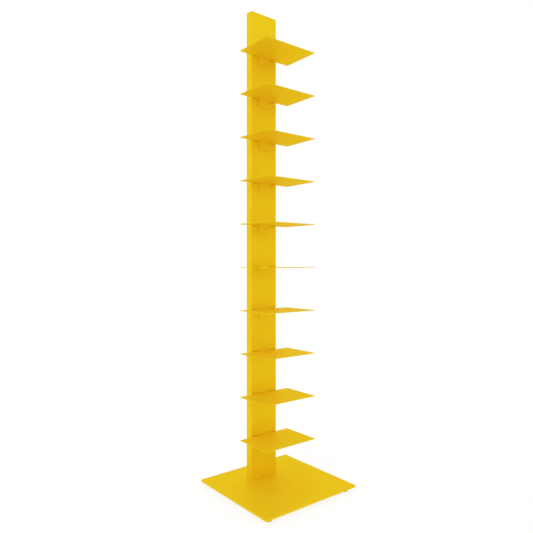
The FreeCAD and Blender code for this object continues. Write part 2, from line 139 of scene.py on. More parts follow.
class Graph:
    """A shader node tree, with short calls for the nodes that the finishes use."""

    STEP = 190
    MIX_COLOUR_INPUTS = (0, 6, 7)
    MIX_COLOUR_OUTPUT = 2

    def __init__(self, tree: bpy.types.NodeTree) -> None:
        """Wrap the node tree of a material, a world or a node group."""
        self.tree = tree

    @classmethod
    def fresh(cls, owner: bpy.types.Material | bpy.types.World) -> "Graph":
        """Switch an owner's nodes on and clear them.

        Args:
            owner: A new material or world.

        Returns:
            The graph of its empty node tree.
        """
        owner.use_nodes = True
        owner.node_tree.nodes.clear()
        return cls(owner.node_tree)

    def feed(self, socket: Socket, value: Feed) -> None:
        """Link another socket into this one, or set its plain value.

        Args:
            socket: The input to feed.
            value: An output socket, a number, a vector or a colour.
        """
        if isinstance(value, bpy.types.NodeSocket):
            self.tree.links.new(value, socket)
        else:
            socket.default_value = value

    def add(self, kind: str, inputs: dict[str | int, Feed] | None = None,
            **settings: object) -> bpy.types.Node:
        """Add a node to the right of the last one.

        Args:
            kind: The node's type.
            inputs: Values or sockets, by the input's name or number.
            **settings: The node's own properties.

        Returns:
            The new node.
        """
        node = self.tree.nodes.new(kind)
        node.location = (self.STEP * len(self.tree.nodes), 0)
        for name, value in settings.items():
            setattr(node, name, value)
        for key, value in (inputs or {}).items():
            self.feed(node.inputs[key], value)
        return node

    def math(self, operation: str, *values: Feed) -> Socket:
        """The result of a Math node on one, two or three numbers."""
        return self.add("ShaderNodeMath", dict(enumerate(values)), operation=operation).outputs[0]

    def vector(self, operation: str, *values: Feed) -> bpy.types.Node:
        """A Vector Math node, whose result is output 0, or output 1 for a length."""
        return self.add("ShaderNodeVectorMath", dict(enumerate(values)), operation=operation)

    def split(self, vector: Socket) -> list[Socket]:
        """The x, y and z of a vector."""
        return list(self.add("ShaderNodeSeparateXYZ", {0: vector}).outputs)

    def repeat(self, vector: Socket, axis: Axis, pitch: float) -> Socket:
        """Fold space along one axis, so that what lies about the origin comes back every pitch.

        Args:
            vector: A place.
            axis: The axis along which it repeats.
            pitch: The distance from one repeat to the next.

        Returns:
            The place, with that coordinate brought within half a pitch of 0.
        """
        parts = self.split(vector)
        parts[axis.value] = self.math("WRAP", parts[axis.value], pitch / 2, -pitch / 2)
        return self.add("ShaderNodeCombineXYZ", dict(enumerate(parts))).outputs[0]

    def noise(self, place: Socket, noise: Noise) -> Socket:
        """A noise from 0 to 1, read at a place."""
        return self.add("ShaderNodeTexNoise", {
            "Vector": place, "Scale": noise.scale, "Detail": noise.octaves,
            "Roughness": noise.weight}).outputs[0]

    def ease(self, value: Socket, band: tuple[Feed, Feed], start: Feed = 0.0,
             end: Feed = 1.0) -> Socket:
        """A number that eases from start to end as the value crosses the band, and holds beyond."""
        inputs = dict(enumerate((value, *band, start, end)))
        return self.add("ShaderNodeMapRange", inputs, interpolation_type="SMOOTHSTEP").outputs[0]

    def mix(self, share: Feed, first: Feed, second: Feed) -> Socket:
        """A colour between the first, at share 0, and the second, at share 1."""
        inputs = dict(zip(self.MIX_COLOUR_INPUTS, (share, first, second)))
        return self.add("ShaderNodeMix", inputs, data_type="RGBA").outputs[self.MIX_COLOUR_OUTPUT]

    def blend(self, share: Socket, first: bpy.types.Node, second: bpy.types.Node) -> bpy.types.Node:
        """A shader between the first, at share 0, and the second, at share 1."""
        inputs = {0: share, 1: first.outputs[0], 2: second.outputs[0]}
        return self.add("ShaderNodeMixShader", inputs)

    def effect(self, effect: Effect, inputs: dict[str, Feed]) -> bpy.types.Node:
        """Place one of the shared node groups, with its inputs by name."""
        return self.add("ShaderNodeGroup", inputs, node_tree=EffectShelf.tree(effect))

    def bump(self, shader: bpy.types.Node, height: Socket, depth: float, strength: float) -> None:
        """Give a shader the relief of a height pattern.

        Args:
            shader: The Principled shader.
            height: The pattern, from about 0 to 1.
            depth: What a height of 1 stands for, in metres.
            strength: How much of the relief shows.
        """
        inputs = {"Strength": strength, "Distance": depth, "Height": height}
        relief = self.add("ShaderNodeBump", inputs)
        self.feed(shader.inputs["Normal"], relief.outputs[0])


class EffectShelf:
    """Builds each shared node group the first time that a finish asks for it."""

    @classmethod
    def tree(cls, effect: Effect) -> bpy.types.NodeTree:
        """The node group of an effect.

        Args:
            effect: Which group.

        Returns:
            The group's tree, made once.
        """
        known = bpy.data.node_groups.get(effect.value)
        makers: dict[Effect, Callable[[], bpy.types.NodeTree]] = {
            Effect.PEEL: cls._peel,
            Effect.DRIFT: cls._drift,
            Effect.RUB: cls._rub,
            Effect.DUST: cls._dust,
            Effect.RINGS: cls._rings,
        }
        return known or makers[effect]()

    @staticmethod
    def _open(effect: Effect, inputs: dict[str, Kind],
              outputs: dict[str, Kind]) -> tuple[Graph, dict[str, Socket], bpy.types.Node]:
        """Start a group with named sockets.

        Args:
            effect: Which group.
            inputs: The kind of each input by name.
            outputs: The kind of each output by name.

        Returns:
            The graph, the group's inputs by name as sockets, and the output node.
        """
        tree = bpy.data.node_groups.new(effect.value, "ShaderNodeTree")
        for side, sockets in (("INPUT", inputs), ("OUTPUT", outputs)):
            for name, kind in sockets.items():
                tree.interface.new_socket(name=name, in_out=side, socket_type=kind.value)
        graph = Graph(tree)
        source = graph.add("NodeGroupInput")
        given = {name: source.outputs[name] for name in inputs}
        return graph, given, graph.add("NodeGroupOutput")

    @classmethod
    def _peel(cls) -> bpy.types.NodeTree:
        """Height of a cured powder coat: broad flow waves with finer grain on them.

        The height is the noise of the waves plus 0.35 of the noise of the grain.

        Returns:
            The group's tree.
        """
        graph, given, out = cls._open(
            Effect.PEEL,
            {"Vector": Kind.VECTOR, "Waves": Kind.NUMBER, "Grain": Kind.NUMBER},
            {"Height": Kind.NUMBER})
        waves = graph.noise(given["Vector"], Noise(given["Waves"], octaves=2.0, weight=0.45))
        grain = graph.noise(given["Vector"], Noise(given["Grain"], octaves=1.0))
        grain_share = 0.35
        graph.feed(out.inputs["Height"], graph.math("MULTIPLY_ADD", grain, grain_share, waves))
        return graph.tree

    @classmethod
    def _drift(cls) -> bpy.types.NodeTree:
        """Slow change between two near tones of one colour.

        The share of the other tone eases from 0 to 1 as a noise goes from 0.3 to 0.7.

        Returns:
            The group's tree.
        """
        graph, given, out = cls._open(
            Effect.DRIFT,
            {"Vector": Kind.VECTOR, "Tone": Kind.COLOUR, "Other Tone": Kind.COLOUR,
             "Scale": Kind.NUMBER},
            {"Colour": Kind.COLOUR, "Share": Kind.NUMBER})
        cloud = graph.noise(given["Vector"], Noise(given["Scale"], octaves=4.0, weight=0.55))
        share = graph.ease(cloud, band=(0.3, 0.7))
        graph.feed(out.inputs["Colour"], graph.mix(share, given["Tone"], given["Other Tone"]))
        graph.feed(out.inputs["Share"], share)
        return graph.tree

    @classmethod
    def _rub(cls) -> bpy.types.NodeTree:
        """Mask along the edges of a box, broken up by noise.

        The distances to the planes of the box's three pairs of faces are | |p| - half size |,
        and the second smallest of them is the distance to the nearest edge. The mask falls from
        1 there to 0 at the reach, which is down to a quarter of its full length in patches.

        Returns:
            The group's tree.
        """
        graph, given, out = cls._open(
            Effect.RUB,
            {"Vector": Kind.VECTOR, "Half Size": Kind.VECTOR, "Reach": Kind.NUMBER},
            {"Mask": Kind.NUMBER})
        beyond = graph.vector("ABSOLUTE", given["Vector"]).outputs[0]
        inside = graph.vector("SUBTRACT", given["Half Size"], beyond).outputs[0]
        across, along, up = graph.split(graph.vector("ABSOLUTE", inside).outputs[0])
        nearer = graph.math("MINIMUM", across, along)
        further = graph.math("MAXIMUM", across, along)
        edge = graph.math("MAXIMUM", nearer, graph.math("MINIMUM", further, up))
        patches = graph.noise(given["Vector"], Noise(scale=160.0, octaves=3.0, weight=0.6))
        share = graph.ease(patches, band=(0.35, 0.7), start=0.25)
        reach = graph.math("MULTIPLY", given["Reach"], share)
        graph.feed(out.inputs["Mask"], graph.ease(edge, band=(0.0, reach), start=1.0, end=0.0))
        return graph.tree

    @classmethod
    def _dust(cls) -> bpy.types.NodeTree:
        """Thin dust on what faces up, thicker in cloudy patches.

        The mask is the amount, times a level that eases from 0 to 1 as the normal's z goes from
        0.7 to 1, times a cloud of noise that eases from 0.2 to 1.

        Returns:
            The group's tree.
        """
        graph, given, out = cls._open(
            Effect.DUST,
            {"Vector": Kind.VECTOR, "Facing Up": Kind.NUMBER, "Amount": Kind.NUMBER},
            {"Mask": Kind.NUMBER})
        level = graph.ease(given["Facing Up"], band=(0.7, 1.0))
        cloud = graph.noise(given["Vector"], Noise(scale=24.0, octaves=6.0, weight=0.65))
        lying = graph.math("MULTIPLY", level, graph.ease(cloud, band=(0.35, 0.75), start=0.2))
        graph.feed(out.inputs["Mask"], graph.math("MULTIPLY", lying, given["Amount"]))
        return graph.tree

    @classmethod
    def _rings(cls) -> bpy.types.NodeTree:
        """Height of fine turned rings about the vector's z axis.

        The height is (1 + sin p) / 2, and the phase p is a full turn for each spacing of the
        radius, plus a wander of up to four radians.

        Returns:
            The group's tree.
        """
        graph, given, out = cls._open(
            Effect.RINGS,
            {"Vector": Kind.VECTOR, "Spacing": Kind.NUMBER},
            {"Height": Kind.NUMBER})
        flat = graph.vector("MULTIPLY", given["Vector"], (1.0, 1.0, 0.0)).outputs[0]
        radius = graph.vector("LENGTH", flat).outputs[1]
        turns = graph.math("DIVIDE", radius, given["Spacing"])
        most_wander = 4.0
        wander = graph.math("MULTIPLY", graph.noise(given["Vector"], Noise(900.0)), most_wander)
        phase = graph.math("MULTIPLY_ADD", turns, math.tau, wander)
        wave = graph.math("MULTIPLY_ADD", graph.math("SINE", phase), 0.5, 0.5)
        graph.feed(out.inputs["Height"], wave)
        return graph.tree


# ---- finishes ----

@dataclass(frozen=True, kw_only=True)
class Finish:
    """What every finish shares: its name, two near tones and its range of roughness."""

    name: str
    tone: Colour
    other_tone: Colour
    patch_scale: float
    smoothest: float
    roughest: float

    def start(self) -> tuple[bpy.types.Material, Graph, bpy.types.Node, Socket]:
        """A new material with a Principled shader.

        Returns:
            The material, its graph, the shader and the socket of the object's coordinates.
        """
        material = bpy.data.materials.new(self.name)
        graph = Graph.fresh(material)
        place = graph.add("ShaderNodeTexCoord").outputs["Object"]
        shader = graph.add("ShaderNodeBsdfPrincipled")
        graph.add("ShaderNodeOutputMaterial", {"Surface": shader.outputs[0]})
        return material, graph, shader, place

    def drift(self, graph: Graph, place: Socket) -> bpy.types.Node:
        """The slow change between this finish's two tones."""
        return graph.effect(Effect.DRIFT, {
            "Vector": place, "Tone": self.tone, "Other Tone": self.other_tone,
            "Scale": self.patch_scale})

    def roughness(self, graph: Graph, value: Socket, band: Band = (0.0, 1.0)) -> Socket:
        """A roughness from the smoothest to the roughest, as the value crosses the band."""
        return graph.ease(value, band, self.smoothest, self.roughest)


@dataclass(frozen=True, kw_only=True)
class PowderCoat(Finish):
    """Satin powder coat, rubbed smooth along the edges of one box and dusty on top.

    Its pigment holds a share of metal, so what it mirrors is yellow too. A pitch repeats the
    box upwards, one to a shelf.
    """

    edges: Box
    pitch: float = 0.0
    tone: Colour = (0.992, 0.740, 0.018, 1.0)
    other_tone: Colour = (0.982, 0.714, 0.017, 1.0)
    patch_scale: float = 7.0
    smoothest: float = 0.46
    roughest: float = 0.54
    gloss: float = 0.005
    metal: float = 0.33
    mirror_tone: Colour = (1.0, 0.72, 0.02, 1.0)
    speckle: Noise = Noise(scale=1700.0, octaves=2.0, weight=0.6)
    satin_band: Band = (0.3, 0.7)
    fleck_band: Band = (0.52, 0.72)
    fleck_tone: Colour = (0.975, 0.57, 0.012, 1.0)
    fleck_share: float = 0.60
    rub_reach: float = 1.6 * MILLIMETRE
    rub_tone: Colour = (0.985, 0.780, 0.030, 1.0)
    rub_share: float = 0.5
    rub_roughness: float = -0.10
    dust_tone: Colour = (0.80, 0.74, 0.50, 1.0)
    dust_amount: float = 0.01
    dust_roughness: float = 1.5
    waves: float = 340.0
    grain: float = 1300.0
    peel_depth: float = 0.20 * MILLIMETRE
    peel_strength: float = 0.8

    def from_box(self, graph: Graph, place: Socket) -> Socket:
        """The vector to a place from the middle of its own box."""
        centred = graph.vector("SUBTRACT", place, self.edges.middle).outputs[0]
        return graph.repeat(centred, Axis.Z, self.pitch) if self.pitch else centred

    def build(self) -> bpy.types.Material:
        """Make the material.

        The colour is the drifting tone, then flecked, rubbed along the edges and dusted. The
        roughness follows the speckle, falls where the coat is rubbed and rises with the dust.

        Returns:
            The new material.
        """
        material, graph, shader, place = self.start()
        facing_up = graph.split(graph.add("ShaderNodeNewGeometry").outputs["Normal"])[Axis.Z.value]
        tone = self.drift(graph, place).outputs["Colour"]
        rub = graph.effect(Effect.RUB, {
            "Vector": self.from_box(graph, place), "Half Size": self.edges.half_size,
            "Reach": self.rub_reach}).outputs["Mask"]
        dust = graph.effect(Effect.DUST, {
            "Vector": place, "Facing Up": facing_up, "Amount": self.dust_amount}).outputs["Mask"]
        speckle = graph.noise(place, self.speckle)
        fleck = graph.math("MULTIPLY", graph.ease(speckle, self.fleck_band), self.fleck_share)
        flecked = graph.mix(fleck, tone, self.fleck_tone)
        rubbed = graph.mix(graph.math("MULTIPLY", rub, self.rub_share), flecked, self.rub_tone)
        graph.feed(shader.inputs["Base Color"], graph.mix(dust, rubbed, self.dust_tone))
        satin = self.roughness(graph, speckle, self.satin_band)
        worn = graph.math("MULTIPLY_ADD", rub, self.rub_roughness, satin)
        dulled = graph.math("MULTIPLY_ADD", dust, self.dust_roughness, worn)
        graph.feed(shader.inputs["Roughness"], dulled)
        shader.inputs["Specular IOR Level"].default_value = self.gloss
        shader.inputs["Specular Tint"].default_value = self.mirror_tone
        shader.inputs["Metallic"].default_value = self.metal
        peel = graph.effect(Effect.PEEL, {
            "Vector": place, "Waves": self.waves, "Grain": self.grain}).outputs["Height"]
        graph.bump(shader, peel, self.peel_depth, self.peel_strength)
        return material


@dataclass(frozen=True, kw_only=True)
class TurnedFinish(Finish):
    """A finish with fine rings about an upright axis.

    mirrored folds the part about x = 0 and y = 0 first, so one axis serves all four corners,
    and a pitch repeats the axis along x.
    """

    axis_at: Point
    ring_spacing: float
    mirrored: bool = False
    pitch: float = 0.0

    def rings(self, graph: Graph, place: Socket) -> Socket:
        """The height of the rings.

        Args:
            graph: The material's graph.
            place: The object's coordinates.

        Returns:
            The height's socket.
        """
        home = graph.vector("ABSOLUTE", place).outputs[0] if self.mirrored else place
        home = graph.vector("SUBTRACT", home, self.axis_at).outputs[0]
        if self.pitch:
            home = graph.repeat(home, Axis.X, self.pitch)
        inputs = {"Vector": home, "Spacing": self.ring_spacing}
        return graph.effect(Effect.RINGS, inputs).outputs["Height"]


@dataclass(frozen=True, kw_only=True)
class ZincPlate(TurnedFinish):
    """Bright zinc on turned steel."""

    tone: Colour = (0.62, 0.63, 0.65, 1.0)
    other_tone: Colour = (0.48, 0.50, 0.53, 1.0)
    patch_scale: float = 220.0
    smoothest: float = 0.26
    roughest: float = 0.40
    ring_spacing: float = 0.35 * MILLIMETRE
    ring_depth: float = 0.03 * MILLIMETRE
    ring_strength: float = 0.5

    def build(self) -> bpy.types.Material:
        """Make the material.

        The colour and the roughness follow one drift, and the relief is the rings.

        Returns:
            The new material.
        """
        material, graph, shader, place = self.start()
        tone = self.drift(graph, place)
        graph.feed(shader.inputs["Base Color"], tone.outputs["Colour"])
        graph.feed(shader.inputs["Roughness"], self.roughness(graph, tone.outputs["Share"]))
        shader.inputs["Metallic"].default_value = 1.0
        graph.bump(shader, self.rings(graph, place), self.ring_depth, self.ring_strength)
        return material


@dataclass(frozen=True, kw_only=True)
class RolledSteel(Finish):
    """Bare hot-rolled steel, streaked along the direction in which it was rolled."""

    tone: Colour = (0.42, 0.41, 0.40, 1.0)
    other_tone: Colour = (0.30, 0.295, 0.29, 1.0)
    patch_scale: float = 60.0
    smoothest: float = 0.35
    roughest: float = 0.55
    metal: float = 0.9
    stretch: Point = (12.0, 260.0, 260.0)
    streak: Noise = Noise(scale=1.0, octaves=5.0, weight=0.6)
    streak_tone: Colour = (0.16, 0.155, 0.15, 1.0)
    streak_band: Band = (0.35, 0.7)
    streak_share: float = 0.6
    dull_band: Band = (0.3, 0.7)
    skin_depth: float = 0.04 * MILLIMETRE
    skin_strength: float = 0.6

    def build(self) -> bpy.types.Material:
        """Make the material.

        A noise drawn out along x darkens the drifting tone, roughens it and gives the relief.

        Returns:
            The new material.
        """
        material, graph, shader, place = self.start()
        tone = self.drift(graph, place).outputs["Colour"]
        streak = graph.noise(graph.vector("MULTIPLY", place, self.stretch).outputs[0], self.streak)
        dark = graph.ease(streak, self.streak_band, end=self.streak_share)
        graph.feed(shader.inputs["Base Color"], graph.mix(dark, tone, self.streak_tone))
        graph.feed(shader.inputs["Roughness"], self.roughness(graph, streak, self.dull_band))
        shader.inputs["Metallic"].default_value = self.metal
        graph.bump(shader, streak, self.skin_depth, self.skin_strength)
        return material


@dataclass(frozen=True, kw_only=True)
class MouldedNylon(TurnedFinish):
    """Yellow nylon with the spark-eroded texture of its mould, scuffed dull near the floor."""

    tone: Colour = (0.95, 0.690, 0.016, 1.0)
    other_tone: Colour = (0.91, 0.655, 0.015, 1.0)
    patch_scale: float = 120.0
    smoothest: float = 0.42
    roughest: float = 0.62
    scratch: Noise = Noise(scale=1100.0, octaves=5.0, weight=0.7)
    scratch_band: Band = (0.40, 0.72)
    scuff_tone: Colour = (0.62, 0.48, 0.12, 1.0)
    scuff_height: float = 1.2 * MILLIMETRE
    mirrored: bool = True
    ring_spacing: float = 0.7 * MILLIMETRE
    ring_share: float = 0.3
    spark_waves: float = 1500.0
    spark_grain: float = 4200.0
    texture_depth: float = 0.05 * MILLIMETRE
    texture_strength: float = 0.7

    def build(self) -> bpy.types.Material:
        """Make the material.

        Scratches set the roughness and, near the floor, the scuffed tone. The relief is the
        spark texture plus a share of the rings.

        Returns:
            The new material.
        """
        material, graph, shader, place = self.start()
        tone = self.drift(graph, place).outputs["Colour"]
        height = graph.split(place)[Axis.Z.value]
        low = graph.ease(height, band=(0.0, self.scuff_height), start=1.0, end=0.0)
        scratches = graph.ease(graph.noise(place, self.scratch), self.scratch_band)
        scuff = graph.math("MULTIPLY", low, scratches)
        graph.feed(shader.inputs["Base Color"], graph.mix(scuff, tone, self.scuff_tone))
        graph.feed(shader.inputs["Roughness"], self.roughness(graph, scratches))
        spark = graph.effect(Effect.PEEL, {
            "Vector": place, "Waves": self.spark_waves,
            "Grain": self.spark_grain}).outputs["Height"]
        rings = self.rings(graph, place)
        relief = graph.math("MULTIPLY_ADD", rings, self.ring_share, spark)
        graph.bump(shader, relief, self.texture_depth, self.texture_strength)
        return material


# ---- worked-out surfaces ----

def show(name: str, data: bpy.types.ID) -> bpy.types.Object:
    """Put a mesh, lamp or camera into the scene as an object at the origin.

    Args:
        name: The object's name.
        data: What it holds.

    Returns:
        The new object.
    """
    holder = bpy.data.objects.new(name, data)
    bpy.context.scene.collection.objects.link(holder)
    return holder


def axis_point(low: Vector, high: Vector) -> np.ndarray:
    """The point at height 0 on the upright axis of the box between two corners."""
    return np.array([(low.x + high.x) / 2, (low.y + high.y) / 2, 0.0])


def directions(angles: np.ndarray) -> np.ndarray:
    """The level unit vectors (cos a, sin a, 0) at angles a in radians, one to a row."""
    return np.stack([np.cos(angles), np.sin(angles), np.zeros_like(angles)], axis=-1)


@dataclass
class Surface:
    """Points of a surface and the quads between them, both as whole arrays."""

    points: np.ndarray
    quads: np.ndarray

    @staticmethod
    def ring_stack(rings: np.ndarray) -> "Surface":
        """A surface through a stack of closed rings.

        Args:
            rings: Points as an array of stack position, place round the ring and x, y, z.

        Returns:
            The surface, open at both ends unless its end rings are single points.
        """
        rows, columns = rings.shape[:2]
        row, column = np.meshgrid(np.arange(rows - 1), np.arange(columns), indexing="ij")
        following = (column + 1) % columns
        quads = np.stack([row * columns + column, row * columns + following,
                          (row + 1) * columns + following, (row + 1) * columns + column], axis=-1)
        return Surface(rings.reshape(-1, 3), quads.reshape(-1, 4))

    def joined(self, other: "Surface") -> "Surface":
        """This surface and another as one."""
        return Surface(np.concatenate([self.points, other.points]),
                       np.concatenate([self.quads, other.quads + len(self.points)]))

    def to_object(self, name: str, sharp_angle: float) -> bpy.types.Object:
        """Make a closed mesh object, with coincident points merged and faces turned outwards.

        Args:
            name: The object's name.
            sharp_angle: Edges that turn by more than this, in radians, stay crisp.

        Returns:
            The object, at the origin and linked to the scene.
        """
        mesh = bpy.data.meshes.new(name)
        mesh.from_pydata(self.points.tolist(), [], self.quads.tolist())
        draft = bmesh.new()
        draft.from_mesh(mesh)
        bmesh.ops.remove_doubles(draft, verts=draft.verts, dist=MERGE_DISTANCE)
        bmesh.ops.dissolve_degenerate(draft, dist=MERGE_DISTANCE, edges=draft.edges)
        bmesh.ops.recalc_face_normals(draft, faces=draft.faces)
        draft.to_mesh(mesh)
        draft.free()
        mesh.shade_smooth()
        mesh.set_sharp_from_angle(angle=sharp_angle)
        return show(name, mesh)


@dataclass(frozen=True)
class ThreadForm:
    """A sixty-degree metric thread: flat crests, wider flat roots and straight flanks."""

    outer_radius: float = 4.0 * MILLIMETRE
    pitch: float = 1.25 * MILLIMETRE
    depth: float = 0.767 * MILLIMETRE
    crest_share: float = 1 / 8
    root_share: float = 1 / 4

    def radius(self, turns: np.ndarray) -> np.ndarray:
        """Radius of the thread at a distance along it.

        With s the distance to the nearest crest's middle in pitches, the radius is the outer
        radius for s up to half the crest, the root radius for s within half the root of one
        half, and runs straight between them.

        Args:
            turns: Distance along the axis in pitches, less the share of a turn.

        Returns:
            The radius, in metres.
        """
        nearest = np.abs(turns - np.round(turns))
        fall = (nearest - self.crest_share / 2) / (0.5 - self.crest_share / 2 - self.root_share / 2)
        return self.outer_radius - self.depth * np.clip(fall, 0.0, 1.0)


@dataclass(frozen=True)
class WeldBead:
    """A short fillet of weld in the corner between a nut's flat and the plate above it."""

    length: float = 6.0 * MILLIMETRE
    leg: float = 1.9 * MILLIMETRE
    end_power: int = 4
    ripples: int = 9
    ripple_share: float = 0.07
    swell_share: float = 0.10
    stations: int = 73
    arc_points: int = 13

    def surface(self, middle: np.ndarray, outward: np.ndarray) -> Surface:
        """Carry a rounded corner section along the flat.

        At share u along the bead, the leg is the full leg, times the fourth root of
        1 - (2u - 1)^4, times a ripple that follows |sin(9 pi u)| and is 7 hundredths lower
        between its nine scallops. The section is the corner point and an arc from the plate to
        the flat: corner + leg * (cos a outward - sin a up), with a from 0 to a quarter turn,
        swollen by a tenth of sin(2a).

        Args:
            middle: Middle of the corner line, in metres.
            outward: Unit vector away from the nut.

        Returns:
            A closed surface.
        """
        up = np.array([0.0, 0.0, 1.0])
        along = np.array([-outward[1], outward[0], 0.0])
        share = np.linspace(0.0, 1.0, self.stations)[:, None, None]
        blunt = np.clip(1.0 - (2.0 * share - 1.0) ** self.end_power, 0.0, 1.0)
        scallop = np.abs(np.sin(math.pi * self.ripples * share))
        ripple = 1.0 - self.ripple_share + self.ripple_share * scallop
        angle = np.linspace(0.0, math.pi / 2, self.arc_points)[None, :, None]
        swell = 1.0 + self.swell_share * np.sin(2.0 * angle)
        reach = self.leg * blunt ** (1 / self.end_power) * ripple * swell
        arc = reach * (np.cos(angle) * outward - np.sin(angle) * up)
        corner = np.zeros((self.stations, 1, 3))
        centre = middle + (share - 0.5) * self.length * along
        return Surface.ring_stack(np.concatenate([corner, arc], axis=1) + centre)


# ---- sub-assemblies ----

@dataclass
class Workshop:
    """Hands out CAD nodes and takes finished pieces."""

    nodes: dict[str, bpy.types.Object]
    made: list[str] = field(default_factory=list)

    def dress(self, name: str, finish: bpy.types.Material) -> None:
        """Give a CAD node its finish in every material slot.

        Args:
            name: The node's name.
            finish: The material.
        """
        for slot in self.nodes[name].material_slots:
            slot.material = finish
        self.made.append(name)
        LOG.info("%s dressed in %s", name, finish.name)

    def deliver(self, piece: bpy.types.Object, finish: bpy.types.Material, body: str,
                slot: Slot) -> None:
        """Finish a new piece and set it on the body that carries it.

        Args:
            piece: The new piece, at the origin.
            finish: The material.
            body: The body's name.
            slot: The record's material slot; not used.
        """
        piece.data.materials.append(finish)
        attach(piece, body)
        self.made.append(piece.name)
        LOG.info("%s made with %d faces, rides on %s", piece.name, len(piece.data.polygons), body)


@dataclass
class Base:
    """The square plate, its welded nuts and the screws that hold the column."""

    shop: Workshop
    nut_radius: float = 7.5 * MILLIMETRE
    screw_spacing: float = 33.0 * MILLIMETRE
    bead: WeldBead = WeldBead()
    bead_angles: tuple[float, ...] = (math.radians(30), math.radians(150), math.radians(270))
    sharp_angle: float = math.radians(50)

    def build(self) -> None:
        """Dress the plate, the nuts and the screws, and lay the beads of weld."""
        coat = PowderCoat(name="base_coat", edges=Box.between(*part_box("base_plate"))).build()
        screws = Box.between(*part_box("column_screws"))
        zinc = ZincPlate(name="screw_zinc", axis_at=screws.middle, pitch=self.screw_spacing).build()
        self.shop.dress("base_plate", coat)
        self.shop.dress("glide_nuts", coat)
        self.shop.dress("column_screws", zinc)
        for corner in Corner:
            self.build_beads(corner, coat)

    def build_beads(self, corner: Corner, coat: bpy.types.Material) -> None:
        """Lay three beads between one nut and the plate, on every other flat.

        A hexagon's flats lie cos 30 degrees of its radius from its axis.

        Args:
            corner: The nut's corner.
            coat: The finish that covers the beads with the plate.
        """
        centre = axis_point(*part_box(corner.pad))
        centre[Axis.Z.value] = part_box("base_plate")[0].z
        flat = self.nut_radius * math.cos(math.pi / 6)
        beads = [self.bead.surface(centre + flat * outward, outward)
                 for outward in directions(np.array(self.bead_angles))]
        weld = reduce(Surface.joined, beads)
        piece = weld.to_object(f"nut_weld_{corner.value}", self.sharp_angle)
        self.shop.deliver(piece, coat, "frame", Slot.COAT)


@dataclass
class Column:
    """The slotted tube, its cap and its tapped foot plate."""

    shop: Workshop

    def build(self) -> None:
        """Dress the three pieces."""
        coat = PowderCoat(name="column_coat", edges=Box.between(*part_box("column_tube"))).build()
        self.shop.dress("column_tube", coat)
        self.shop.dress("column_top_cap", coat)
        self.shop.dress("column_foot_plate", RolledSteel(name="rolled_steel").build())


@dataclass
class ShelfStack:
    """The ten folded shelves."""

    shop: Workshop
    count: int = 10
    sheet: float = 2.0 * MILLIMETRE
    hook_rise: float = 6.0 * MILLIMETRE
    rear_gap: float = 2.5 * MILLIMETRE

    def build(self) -> None:
        """Dress every shelf in one coat, which is rubbed along the edges of each panel."""
        low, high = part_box("shelf_01")
        top = high.z - self.hook_rise
        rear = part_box("column_tube")[0].y - self.rear_gap
        panel = Box.between(Vector((low.x, low.y, top - self.sheet)), Vector((high.x, rear, top)))
        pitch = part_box("shelf_02")[0].z - low.z
        coat = PowderCoat(name="shelf_coat", edges=panel, pitch=pitch).build()
        for number in range(1, self.count + 1):
            self.shop.dress(f"shelf_{number:02d}", coat)


